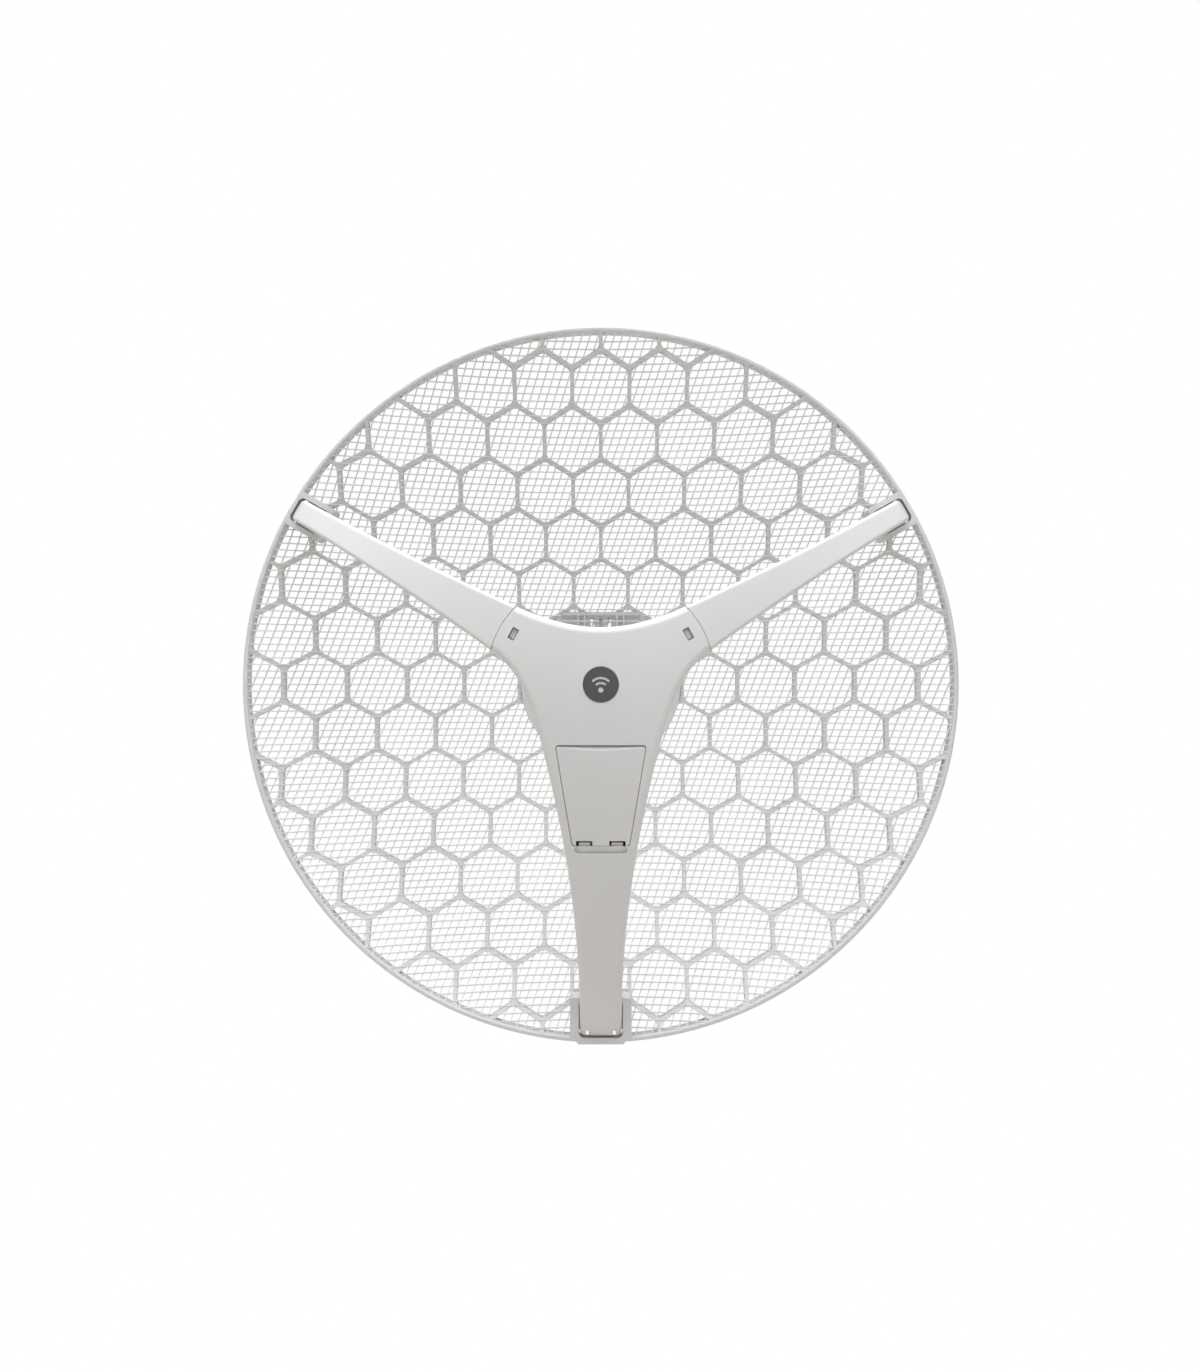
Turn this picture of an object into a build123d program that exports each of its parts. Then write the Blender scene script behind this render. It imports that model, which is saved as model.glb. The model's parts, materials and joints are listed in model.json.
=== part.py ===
from build123d import *
import math
import os

os.makedirs("parts", exist_ok=True)

# Everything is modelled in millimetres in the antenna's own frame: x to the right, y up and z forward
# along the beam, from the centre of the mast. write() turns that frame so that +Z is up and the
# beam points along -Y.

# Reflector
DISH_RADIUS = 195.5
FOCAL_LENGTH = 137.0
VERTEX = 68.0                      # mast centre to the bottom of the reflector's bowl
RIB_PITCH = DISH_RADIUS / 6.1      # flat to flat, centre to centre of the hexagons
RIB_WIDTH = 2.1
RIB_DEPTH = 5.5
CELL_CORNER = 3.6
RIM_LIP = 2.3
RIM_DEPTH = 8.0
RIM_PLANE = VERTEX + DISH_RADIUS**2 / (4 * FOCAL_LENGTH)
PLATE_RADIUS = 47.0
PLATE_TOP = 42.8
PLATE_BACK = 60.0
PLATE_PROUD = 1.4                  # the plate and the sockets cover the mesh that runs into them

# Fine mesh
LEVEL_SPACING = 3.69
SLANT_SPACING = 4.17
SLANT_ANGLE = 70.0                 # direction of the slanted wires, from the x axis
WIRE_WIDTH = 0.65
WIRE_THICKNESS = 0.6
LEVEL_HEIGHT = -0.3                # underside of each layer of wires, over the reflector's surface
SLANT_HEIGHT = LEVEL_HEIGHT - WIRE_THICKNESS

# Radio unit and arms: a slice of a dome, with flat-sided arms at 30, 150 and 270 degrees
DOME_RADIUS = 247.0
BACK_RADIUS = 306.0
HUB_FRONT = VERTEX + 160.0
HUB_BACK = HUB_FRONT - 30.0
SIDE_ARM_ANGLES = {"right": 30.0, "left": 150.0}
ARM_END = 192.3
SEAM = 55.0                        # distance of the arm joints from the hub's centre
SEAM_BULGE = 1.6                   # the hub's end of each joint is bowed outwards this much
SEAM_GAP = 0.15
SIDE_ROOT_HALF = 12.4
SIDE_TIP_HALF = 6.35
LOWER_TIP_HALF = 11.3
LOWER_STRAIGHT = 168.0             # below this the lower arm has parallel sides
LOWER_FLARE = 0.00092              # growth of the lower arm's half width per square millimetre
WAIST = 15.0                       # the flare ends this far below the hub's centre
TOP_EDGE = 27.9
HUB_ROUND = 3.6
ARM_ROUND = 1.9
TIP_CORNER = 3.0
SKIN = 2.4
WALL = 3.2
REBATE_WALL = 1.6
ARM_WALL = 1.8
COVER_THICKNESS = 2.0
SEAL_THICKNESS = 1.4
PARTITION = -88.0                  # wall between the port bay and the lower arm's channel
PARTITION_THICKNESS = 2.0
FIT_GAP = 0.3

# Rim sockets
SIDE_SOCKET_WALL = 3.0
SIDE_SOCKET_START = 173.5
LOWER_SOCKET_WALL = 4.8
LOWER_SOCKET_START = 171.0
SOCKET_GAP = 0.7
SOCKET_FLOOR = RIM_PLANE - 9.0
FOOT_START = 181.0
TIP_SLOT_X = 7.4                   # narrow slots in the end of the lower arm
TIP_SLOT_WIDTH = 1.4
TIP_SLOT_LENGTH = 4.0
TAB_HALF = 13.4
TAB_END = 196.4

# Side arm joint
TONGUE_START = 43.5
TONGUE_HALF = 5.0
TONGUE_THICKNESS = 2.6
WINDOW_CENTRE = 49.3
WINDOW_SIZE = (3.4, 6.0)

# Port door
DOOR_TOP = -29.8
DOOR_BOTTOM = -77.2                # top of the two latch windows
OPENING_BOTTOM = -79.8
DOOR_TOP_HALF = 22.0
DOOR_BOTTOM_HALF = 14.4
DOOR_GAP = 0.25
HINGE_DEPTH = 2.6                  # hinge axis below the door's outer skin, and below its top edge
HINGE_PIN = 0.7
HINGE_BORE = 0.84
LATCH_INNER = 4.2                  # the two latch windows at the door's lower edge
LATCH_OUTER = 12.2
RECESS_HALF = 13.0
RECESS_HEIGHT = 3.5

# Electronics
BOARD_BACK = 203.8
BOARD_THICKNESS = 1.6
BOARD_FRONT = BOARD_BACK + BOARD_THICKNESS
BOARD_POSTS = [(27.0, 10.0), (-27.0, 10.0), (22.0, -23.5), (-22.0, -23.5)]
COVER_POSTS = [(32.9, 19.0), (-32.9, 19.0), (10.2, -82.8), (-10.2, -82.8)]
JACK_HALF = 8.0
JACK_TOP = -36.0
JACK_MOUTH = -57.5
JACK_HEIGHT = 12.9
BUTTON_PLACE = (-13.2, -42.0)
BUTTON_DEPTH = 4.6                 # top of the button below the door's outer skin
LAMP_X = 13.2
LAMP_ROWS = [-38.4 - 3.2 * row for row in range(5)]

# Mast mount
MAST_RADIUS = 25.1
SADDLE_THICKNESS = 3.5
SADDLE_HALF_ANGLE = 60.0
SADDLE_HALF_HEIGHT = 22.0
PIVOT_Z = 40.0
LOCK_RADIUS = 20.0
TILT_LIMIT = 15.0
BRACKET_BACK = 56.0
BLOCK_HALF = 13.0
CHEEK_GAP = 0.5
CHEEK_THICKNESS = 5.0
BOLT_RADIUS = 3.0
BOLT_HOLE = 3.1
BAND_THICKNESS = 0.8
BAND_HALF_WIDTH = 6.35
CLAMP_ANGLE = 120.0                # place of the worm housing round the mast, from the front

BIG = 600.0


# ---------------------------------------------------------------- helpers

def write(name, solids):
    """Turn a piece, or a group of like pieces, upright and save it under its name."""
    shape = Compound(children=list(solids)) if isinstance(solids, (list, tuple)) else solids
    export_step(Rot(90, 0, 0) * shape, f"parts/{name}.step")


def block(x_range, y_range, z_range):
    sizes = [high - low for low, high in (x_range, y_range, z_range)]
    centre = [(high + low) / 2 for low, high in (x_range, y_range, z_range)]
    return Pos(*centre) * Box(*sizes)


def post(place, radius, low, high):
    return Pos(place[0], place[1], (low + high) / 2) * Cylinder(radius, high - low)


def rod(radius, x_range, y=0.0, z=0.0):
    """Cylinder along x."""
    low, high = x_range
    return Pos((low + high) / 2, y, z) * Rot(0, 90, 0) * Cylinder(radius, high - low)


def hex_rod(across_flats, x_range, y=0.0, z=0.0):
    """Hexagonal bar along x."""
    low, high = x_range
    section = RegularPolygon(across_flats / 2, 6, major_radius=False)
    return Pos(low, y, z) * Rot(0, 90, 0) * extrude(section, high - low)


def prism(face, low, high):
    return Pos(0, 0, low) * extrude(face, high - low)


def ball(radius, top):
    """Ball whose poles and seam lie well away from its top."""
    return Pos(0, 0, top - radius) * Rot(90, 0, 0) * Sphere(radius)


def dome_drop(x, y=0.0):
    """How far the outer dome has fallen back at a point of the front view."""
    return DOME_RADIUS - math.sqrt(DOME_RADIUS**2 - x**2 - y**2)


def back_drop(x, y=0.0):
    """How far the unit's back surface has fallen back at a point of the front view."""
    return BACK_RADIUS - math.sqrt(BACK_RADIUS**2 - x**2 - y**2)


def under_dome(depth):
    """Everything at least this deep under the outer dome."""
    return ball(DOME_RADIUS - depth, HUB_FRONT - depth)


def behind_back(height):
    """Everything lower than this height over the unit's back surface."""
    return ball(BACK_RADIUS + height, HUB_BACK + height)


def bowl(below, above, radius):
    """Round slice of the reflector's paraboloid, from below to above its surface."""
    rise = radius**2 / (4 * FOCAL_LENGTH)
    low, high = VERTEX - below, VERTEX + above
    back = Bezier((0, 0, low), (radius / 2, 0, low), (radius, 0, low + rise))
    edge = Line((radius, 0, low + rise), (radius, 0, high + rise))
    front = Bezier((radius, 0, high + rise), (radius / 2, 0, high), (0, 0, high))
    centre = Line((0, 0, high), (0, 0, low))
    return revolve(make_face([back, edge, front, centre]), Axis.Z)


def arm_point(angle, along, side):
    """Point at a distance along an arm's centreline, and off to its left side."""
    cos, sin = math.cos(math.radians(angle)), math.sin(math.radians(angle))
    return along * cos - side * sin, along * sin + side * cos


def meeting(start, start_way, end, end_way):
    """Where the lines through two points, with these directions, cross."""
    det = start_way[0] * end_way[1] - start_way[1] * end_way[0]
    dx, dy = end[0] - start[0], end[1] - start[1]
    step = (dx * end_way[1] - dy * end_way[0]) / det
    return start[0] + step * start_way[0], start[1] + step * start_way[1]


def mirrored(points):
    return [(-x, y) for x, y in reversed(points)]


# ---------------------------------------------------------------- reflector

def hexagon_centres():
    """Centres of the reflector's hexagons, with one on the beam axis."""
    row_step = RIB_PITCH * math.sqrt(3) / 2
    for row in range(-8, 9):
        for column in range(-8, 9):
            x = (column + row % 2 / 2) * RIB_PITCH
            y = row * row_step
            if math.hypot(x, y) < DISH_RADIUS + RIB_PITCH / 2:
                yield x, y


def cell_prisms():
    """One rounded hexagonal prism for each opening between the ribs, clipped by the rim."""
    flat = (RIB_PITCH - RIB_WIDTH) / 2
    cell = RegularPolygon(flat, 6, major_radius=False, rotation=30)
    cell = fillet(cell.vertices(), CELL_CORNER)
    inside = DISH_RADIUS - RIM_LIP - 0.4
    smallest = 30.0
    for x, y in hexagon_centres():
        opening = Pos(x, y) * cell
        if math.hypot(x, y) > inside - RIB_PITCH * 0.6:
            opening = opening & Circle(inside)
            if opening is None or opening.area < smallest:
                continue
        yield prism(opening, VERTEX - 3 * RIB_DEPTH, RIM_PLANE + RIM_DEPTH)


def rim_ring():
    inner = DISH_RADIUS - RIM_LIP
    back = RIM_PLANE - RIM_DEPTH
    corners = [(inner, RIM_PLANE), (DISH_RADIUS, RIM_PLANE), (DISH_RADIUS, back), (inner - 0.8, back)]
    section = make_face(Polyline([(x, 0, z) for x, z in corners], close=True))
    front = section.vertices().sort_by(Axis.Z)[-2:]
    return revolve(fillet(front, 0.8), Axis.Z)


def socket(angle, start, tip_half, wall):
    """U-shaped pocket on the rim that takes the end of an arm, and the space inside it."""
    half = tip_half + SOCKET_GAP
    reach = DISH_RADIUS - 1.0
    body = block((start, reach), (-half - wall, half + wall), (VERTEX, RIM_PLANE))
    inner_ends = body.edges().filter_by(Axis.Z).sort_by(Axis.X)[:2]
    body = fillet(inner_ends, 2.0)
    pocket = block((start + 3.0, ARM_END + SOCKET_GAP), (-half, half), (SOCKET_FLOOR, BIG))
    outer_ends = pocket.edges().filter_by(Axis.Z).sort_by(Axis.X)[-2:]
    pocket = fillet(outer_ends, TIP_CORNER)
    return Rot(0, 0, angle) * body, Rot(0, 0, angle) * pocket


def rim_sockets():
    sockets = [socket(angle, SIDE_SOCKET_START, SIDE_TIP_HALF, SIDE_SOCKET_WALL)
               for angle in SIDE_ARM_ANGLES.values()]
    return sockets + [socket(270.0, LOWER_SOCKET_START, LOWER_TIP_HALF, LOWER_SOCKET_WALL)]


def centre_plate():
    """Solid plate in the middle of the reflector, with front ribs and slots above the hub."""
    disc = Circle(PLATE_RADIUS) - Pos(0, PLATE_TOP + 10) * Rectangle(100, 20)
    plate = prism(disc, PLATE_BACK, RIM_PLANE) & bowl(RIB_DEPTH + 3, PLATE_PROUD, PLATE_RADIUS + 2)
    pad = post((0, 0), 38.0, PLATE_BACK, VERTEX)
    plate = plate + pad
    slots = [block((x - 0.9, x + 0.9), (27.0, 39.3), (0, BIG)) for x in (-5.1, 0.0, 5.1)]
    across = [block((-30, 30), (y - 0.7, y + 0.7), (VERTEX, BIG)) for y in (41.4, 37.4)]
    upright = [block((x - 0.6, x + 0.6), (12, 42), (VERTEX, BIG)) for x in (-13.4, -9.6, 9.6, 13.4)]
    ribs = (across[0] + across[1:] + upright) & bowl(0, PLATE_PROUD + 1.6, PLATE_RADIUS)
    plate = plate + (ribs & prism(disc, VERTEX, RIM_PLANE)) - slots
    bores = [post(place, 2.45, 0, VERTEX - 2) for place in bracket_screw_places()]
    return plate - bores


def bracket_screw_places():
    return [(x, y) for x in (-25.0, 25.0) for y in (-22.0, 22.0)]


def bottom_tab():
    """Flat-bottomed tab that stands just past the rim under the lower arm."""
    height = 7.0
    tab = block((-TAB_HALF, TAB_HALF), (-TAB_END, height - TAB_END), (RIM_PLANE - RIM_DEPTH, RIM_PLANE))
    return chamfer(tab.edges().filter_by(Axis.Z).sort_by(Axis.Y)[:2], 1.2)


def grid_frame():
    sockets = rim_sockets()
    grid = bowl(RIB_DEPTH, 0.0, DISH_RADIUS - 0.5) - list(cell_prisms())
    above_grid = bowl(RIB_DEPTH, 60.0, DISH_RADIUS)
    for body, _ in sockets:
        grid = grid + (body & above_grid)
    grid = grid + rim_ring() + centre_plate() + bottom_tab()
    for _, pocket in sockets:
        grid = grid - pocket
    return grid


def wire(distance, angle, low):
    """Straight wire pressed to the bowl's shape: a parabola at every distance from the axis."""
    half = math.sqrt((DISH_RADIUS - 1.2)**2 - distance**2)
    middle = VERTEX + distance**2 / (4 * FOCAL_LENGTH) + low
    sag = half**2 / (4 * FOCAL_LENGTH)
    top = middle + WIRE_THICKNESS
    side = -WIRE_WIDTH / 2
    back = Bezier((-half, side, middle + sag), (0, side, middle - sag), (half, side, middle + sag))
    right = Line((half, side, middle + sag), (half, side, top + sag))
    front = Bezier((half, side, top + sag), (0, side, top - sag), (-half, side, top + sag))
    left = Line((-half, side, top + sag), (-half, side, middle + sag))
    strip = extrude(make_face([back, right, front, left]), WIRE_WIDTH, dir=(0, 1, 0))
    return Rot(0, 0, angle) * Pos(0, distance, 0) * strip


def wires(spacing, angle, low):
    """One layer of the mesh, cut away where the ends of the arms stand in their sockets."""
    pockets = [pocket for _, pocket in rim_sockets()]
    count = int((DISH_RADIUS - 6) / spacing)
    layer = []
    for step in range(-count, count + 1):
        layer += (wire(spacing * step, angle, low) - pockets).solids()
    return layer


# ---------------------------------------------------------------- radio unit outline

def unit_outline(shrink=0.0):
    """Front outline of the hub with the lower arm, closed by the two side arm seams.

    Shrinking moves every edge inwards by the same amount, for the inner faces of the walls.
    """
    angle = SIDE_ARM_ANGLES["right"]
    flare = 2 * (SIDE_ROOT_HALF - SIDE_TIP_HALF) / (ARM_END - SEAM)
    upper = arm_point(angle, SEAM - shrink, SIDE_ROOT_HALF - shrink)
    lower = arm_point(angle, SEAM - shrink, shrink - SIDE_ROOT_HALF)
    upper_way = arm_point(angle, 1, -flare)
    lower_way = arm_point(angle, 1, flare)
    waist_slope = 2 * LOWER_FLARE * (LOWER_STRAIGHT - WAIST)
    waist_half = LOWER_TIP_HALF + LOWER_FLARE * (LOWER_STRAIGHT - WAIST)**2
    waist = (waist_half - shrink * math.hypot(1, waist_slope), -WAIST)
    waist_way = (waist_slope, 1)
    top = (0, TOP_EDGE - shrink)
    foot = (LOWER_TIP_HALF - shrink, -LOWER_STRAIGHT)
    end = (LOWER_TIP_HALF - shrink, shrink - ARM_END)
    curves = [
        [top, meeting(top, (1, 0), upper, upper_way), upper],
        [upper, seam_middle(angle, shrink), lower],
        [lower, meeting(lower, lower_way, waist, waist_way), waist],
        [waist, meeting(waist, waist_way, foot, (0, 1)), foot],
        [foot, end],
    ]
    bottom = [[end, (-end[0], end[1])]]
    left = [mirrored(points) for points in reversed(curves)]
    edges = [Line(*points) if len(points) == 2 else Bezier(*points) for points in curves + bottom + left]
    face = make_face(edges)
    tips = face.vertices().sort_by(Axis.Y)[:2]
    return fillet(tips, TIP_CORNER - 0.7 * shrink)


def seam_middle(angle, shrink=0.0):
    """Control point that bows a joint outwards."""
    return arm_point(angle, SEAM + 2 * SEAM_BULGE - shrink, 0)


def side_arm_outline(shrink=0.0):
    """Side arm along +x from the seam to the tip, with edges that are parabolas, straight at the tip."""
    start, end = SEAM + SEAM_GAP + shrink, ARM_END - shrink
    root, tip = SIDE_ROOT_HALF - shrink, SIDE_TIP_HALF - shrink
    middle = (start + end) / 2
    edges = [
        Bezier((end, tip), (middle, tip), (start, root)),
        Bezier((start, root), (start + 2 * SEAM_BULGE, 0), (start, -root)),
        Bezier((start, -root), (middle, -tip), (end, -tip)),
        Line((end, -tip), (end, tip)),
    ]
    face = make_face(edges)
    tips = face.vertices().sort_by(Axis.X)[-2:]
    return fillet(tips, TIP_CORNER - 0.7 * shrink)


def domed(outline, rounding, is_seam):
    """Outline cut from the dome, with its front edges rounded except at the seams."""
    body = prism(outline, 100, HUB_FRONT + 5) & under_dome(0)
    body = body - behind_back(0)
    front = body.faces().filter_by(GeomType.SPHERE).sort_by(Axis.Z)[-1]
    edges = [edge for edge in front.edges() if not is_seam(edge)]
    return fillet(edges, rounding)


def at_unit_seam(edge):
    middle = edge.center()
    for angle in SIDE_ARM_ANGLES.values():
        along = middle.X * math.cos(math.radians(angle)) + middle.Y * math.sin(math.radians(angle))
        if SEAM < along < SEAM + 2 * SEAM_BULGE:
            return True
    return False


# ---------------------------------------------------------------- front cover

def door_half(y):
    """Half width of the door at a height."""
    slope = (DOOR_TOP_HALF - DOOR_BOTTOM_HALF) / (DOOR_TOP - DOOR_BOTTOM)
    return DOOR_TOP_HALF + slope * (y - DOOR_TOP)


def door_outline(top, bottom, grow):
    corners = [(-door_half(top) - grow, top), (-door_half(bottom) - grow, bottom),
               (door_half(bottom) + grow, bottom), (door_half(top) + grow, top)]
    face = make_face(Polyline(corners, close=True))
    return fillet(face.vertices(), 1.5)


def recess_outline():
    return Pos(0, OPENING_BOTTOM - RECESS_HEIGHT / 2) * SlotOverall(2 * RECESS_HALF, RECESS_HEIGHT)


def tip_slots():
    """Two narrow slots in the end of the lower arm."""
    half, top = TIP_SLOT_WIDTH / 2, TIP_SLOT_LENGTH - ARM_END
    return [block((x - half, x + half), (-BIG, top), (VERTEX, HUB_FRONT)) for x in (-TIP_SLOT_X, TIP_SLOT_X)]


def tongue(gap):
    """Snap tongue of a side arm along +x; the gap makes the space that it slides into."""
    half = TONGUE_HALF + gap
    top = SKIN + FIT_GAP - gap
    bar = block((TONGUE_START - gap, SEAM + 2.0 + SEAM_BULGE), (-half, half), (HUB_BACK, HUB_FRONT))
    return (bar & under_dome(top)) - under_dome(SKIN + FIT_GAP + TONGUE_THICKNESS + gap)


def window(side_gap, end_gap):
    """Window in the hub over a snap tongue, or, with gaps, the nib that stands in it."""
    along, across = WINDOW_SIZE[0] / 2 - side_gap, WINDOW_SIZE[1] / 2 - end_gap
    return block((WINDOW_CENTRE - along, WINDOW_CENTRE + along), (-across, across), (HUB_BACK, HUB_FRONT + 5))


def hinge_place():
    """Height and depth of the door's hinge axis."""
    y = DOOR_TOP - HINGE_DEPTH
    return y, HUB_FRONT - dome_drop(0, y) - HINGE_DEPTH


def hinge_ears():
    """Blocks under the skin on both sides of the door, bored for its pins."""
    y, z = hinge_place()
    low = DOOR_TOP_HALF + DOOR_GAP + 0.1
    ears = [block(sorted((side * low, side * (low + 2.6))), (y - 3, y + 3), (z - 3, z + 3))
            for side in (1, -1)]
    bore = rod(HINGE_BORE, (-low - 2.0, low + 2.0), y, z)
    return [(ear & under_dome(1.2)) - bore for ear in ears], bore


def hinge_relief():
    """Room behind the opening's rim for the door's rounded top edge to turn in."""
    y, _ = hinge_place()
    half = DOOR_TOP_HALF + DOOR_GAP
    room = block((-half, half), (y - HINGE_DEPTH - DOOR_GAP, DOOR_TOP + DOOR_GAP), (HUB_BACK + 10, HUB_FRONT))
    return room & under_dome(0.7)


def latch_windows():
    """The two notches in the door's lower edge that show its catches."""
    middle, width = (LATCH_INNER + LATCH_OUTER) / 2, LATCH_OUTER - LATCH_INNER
    return [Pos(side * middle, DOOR_BOTTOM - 5) * Rectangle(width, 10) for side in (1, -1)]


def latch_catches():
    """Ledges of the front cover that stand in the lower half of the latch windows."""
    ledges = []
    for side in (1, -1):
        across = sorted((side * (LATCH_INNER + 1.0), side * (LATCH_OUTER - 1.2)))
        ledge = block(across, (OPENING_BOTTOM - 1.0, OPENING_BOTTOM + 1.7), (HUB_BACK, HUB_FRONT))
        ledges.append((ledge & under_dome(2.1)) - under_dome(3.5))
    return ledges


def cover_bosses():
    """Posts under the skin for the board's screws and the rear cover's screws."""
    posts = [post(place, 2.6, BOARD_FRONT, HUB_FRONT) for place in BOARD_POSTS]
    posts += [post(place, 2.8, HUB_BACK + 2, HUB_FRONT) for place in COVER_POSTS[:2]]
    posts += [post(place, 2.2, HUB_BACK - 10, HUB_FRONT) for place in COVER_POSTS[2:]]
    clear = behind_back(COVER_THICKNESS + SEAL_THICKNESS + 0.2)
    return [(boss & under_dome(SKIN - 0.4)) - clear for boss in posts]


def boss_bores():
    bores = [post(place, 1.3, HUB_BACK, BOARD_FRONT + 7) for place in BOARD_POSTS]
    bores += [post(place, 1.3, HUB_BACK - 20, HUB_BACK + 12) for place in COVER_POSTS]
    return bores


def channel_webs():
    """Stiffening webs across the lower arm, notched for the cable."""
    notch = SlotCenterToCenter(60, 8.0)
    webs = []
    for y in (-112.0, -136.0, -160.0):
        web = block((-20, 20), (y - 0.7, y + 0.7), (100, HUB_FRONT)) - behind_back(2.0)
        place = Pos(0, y, HUB_FRONT - dome_drop(0, y) - 46) * Rot(90, 0, 90)
        webs.append(web - place * extrude(notch, 4, both=True))
    return webs


def hub_front_cover():
    body = domed(unit_outline(), HUB_ROUND, at_unit_seam)
    bay = PARTITION + PARTITION_THICKNESS / 2
    channel = PARTITION - PARTITION_THICKNESS / 2
    hub_half = Pos(0, bay + BIG / 2) * Rectangle(BIG, BIG)
    arm_half = Pos(0, channel - BIG / 2) * Rectangle(BIG, BIG)
    cavity = prism(unit_outline(WALL) & hub_half, 100, HUB_FRONT) & under_dome(SKIN)
    rebate = prism(unit_outline(REBATE_WALL) & hub_half, 100, HUB_FRONT)
    rebate = rebate & behind_back(COVER_THICKNESS + SEAL_THICKNESS + 0.2)
    trough = prism(unit_outline(ARM_WALL) & arm_half, 100, HUB_FRONT) & under_dome(SKIN)
    for web in channel_webs():
        trough = trough - web
    shell = body - cavity - rebate - trough
    shell = shell + cover_bosses()
    ears, bore = hinge_ears()
    shell = shell + ears - bore - boss_bores()
    opening = door_outline(DOOR_TOP + DOOR_GAP, OPENING_BOTTOM, DOOR_GAP)
    shell = shell - prism(opening, HUB_BACK + 10, HUB_FRONT + 5) - hinge_relief()
    shell = shell - (prism(recess_outline(), HUB_BACK, HUB_FRONT + 5) - under_dome(1.4))
    shell = shell + latch_catches() - tip_slots()
    badge_recess = post((0, 0), 8.75, HUB_FRONT - 5, HUB_FRONT + 5) - under_dome(0.7)
    shell = shell - badge_recess
    for angle in SIDE_ARM_ANGLES.values():
        turn = Rot(0, 0, angle)
        shell = shell - (turn * tongue(FIT_GAP)) - (turn * window(0, 0))
    grommet_seat = block((-4.4, 4.4), (PARTITION - 5, PARTITION + 5), (0, grommet_height()))
    shell = shell - grommet_seat - post_along_y(4.4, (PARTITION - 5, PARTITION + 5), grommet_height())
    return shell


def grommet_height():
    return HUB_BACK + 4.0


def post_along_y(radius, y_range, z):
    low, high = y_range
    return Pos(0, (low + high) / 2, z) * Rot(90, 0, 0) * Cylinder(radius, high - low)


# ---------------------------------------------------------------- rear cover, seal and badge

def hub_rear_cover():
    edge = PARTITION + PARTITION_THICKNESS / 2 + 0.2
    region = unit_outline(REBATE_WALL + 0.2) & Pos(0, edge + BIG / 2) * Rectangle(BIG, BIG)
    plate = (prism(region, 100, HUB_FRONT) & behind_back(COVER_THICKNESS)) - behind_back(0)
    ribs = [block((x - 0.6, x + 0.6), (-74, -30), (100, HUB_FRONT)) for x in (-9.0, 9.0)]
    ribs += [block((-14, 14), (y - 0.6, y + 0.6), (100, HUB_FRONT)) for y in (-66.0, -34.0)]
    for rib in ribs:
        plate = plate + ((rib & behind_back(COVER_THICKNESS + 1.8)) - behind_back(COVER_THICKNESS - 0.2))
    bores = [post(place, 1.5, 100, HUB_FRONT) for place in COVER_POSTS]
    sinks = [post(place, 2.6, 100, cover_screw_seat(place)) for place in COVER_POSTS]
    return plate - bores - sinks


def cover_screw_seat(place):
    """Depth of the face that a rear cover screw's head bears on."""
    return HUB_BACK - back_drop(*place) + 0.9


def cover_seal():
    edge = PARTITION + PARTITION_THICKNESS / 2 + 0.3
    half = Pos(0, edge + BIG / 2) * Rectangle(BIG, BIG)
    outer = unit_outline(REBATE_WALL + 0.25) & half
    inner = unit_outline(WALL - 0.1) & Pos(0, edge + 1.4 + BIG / 2) * Rectangle(BIG, BIG)
    ring = prism(outer, 100, HUB_FRONT) - prism(inner, 100, HUB_FRONT)
    return (ring & behind_back(COVER_THICKNESS + SEAL_THICKNESS)) - behind_back(COVER_THICKNESS + 0.02)


def badge():
    """Plain round badge with a dot and two wave arcs cut into it."""
    disc = (post((0, 0), 8.6, HUB_FRONT - 5, HUB_FRONT + 1) & under_dome(-0.25)) - under_dome(0.65)
    marks = [Circle(1.3)]
    for radius in (3.4, 5.8):
        ring = Circle(radius + 0.55) - Circle(radius - 0.55)
        wedge = make_face(Polyline([(0, 0), (9, 9), (-9, 9)], close=True))
        marks.append(ring & wedge)
    cut = [Pos(0, -2.6) * prism(mark, HUB_FRONT - 0.05, HUB_FRONT + 2) for mark in marks]
    return disc - cut


# ---------------------------------------------------------------- side arms

def side_arm():
    """Hollow arm along +x, open at the back, with webs, a foot for the socket and a snap tongue."""
    outline = side_arm_outline()
    body = domed(outline, ARM_ROUND, lambda edge: edge.center().X < SEAM + 2 * SEAM_BULGE)
    foot_face = outline & Pos(FOOT_START + 50, 0) * Rectangle(100, 100)
    foot = prism(foot_face, SOCKET_FLOOR + 0.4, HUB_FRONT) & under_dome(6.0)
    hollow = prism(side_arm_outline(ARM_WALL), 100, HUB_FRONT) & under_dome(SKIN)
    for step in range(6):
        x = 76.0 + 20.0 * step
        hollow = hollow - (block((x - 0.6, x + 0.6), (-20, 20), (100, HUB_FRONT)) - behind_back(2.0))
    hollow = hollow - block((FOOT_START - 3, ARM_END), (-20, 20), (100, HUB_FRONT))
    nib = (window(0.45, 0.7) & under_dome(2.0)) - under_dome(SKIN + FIT_GAP + 0.5)
    return body + foot - hollow + tongue(0) + nib


# ---------------------------------------------------------------- port door

def port_door():
    y, z = hinge_place()
    outline = door_outline(DOOR_TOP, OPENING_BOTTOM + DOOR_GAP, 0) - latch_windows()
    body = prism(outline, HUB_BACK, HUB_FRONT + 5) & domed(unit_outline(), HUB_ROUND, at_unit_seam)
    body = body - under_dome(SKIN)
    above_hinge = block((-40, 40), (y, 0), (HUB_BACK, HUB_FRONT + 5))
    body = body - (above_hinge - rod(HINGE_DEPTH, (-40, 40), y, z))
    for x in (-10.0, 10.0):
        rib = block((x - 0.6, x + 0.6), (-70, -37), (HUB_BACK, HUB_FRONT))
        body = body + ((rib & under_dome(SKIN - 0.2)) - under_dome(SKIN + 1.2))
    end = DOOR_TOP_HALF + DOOR_GAP + 1.8
    pins = [rod(HINGE_PIN, sorted((side * (DOOR_TOP_HALF - 1.6), side * end)), y, z) for side in (1, -1)]
    return body + pins


# ---------------------------------------------------------------- electronics

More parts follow.
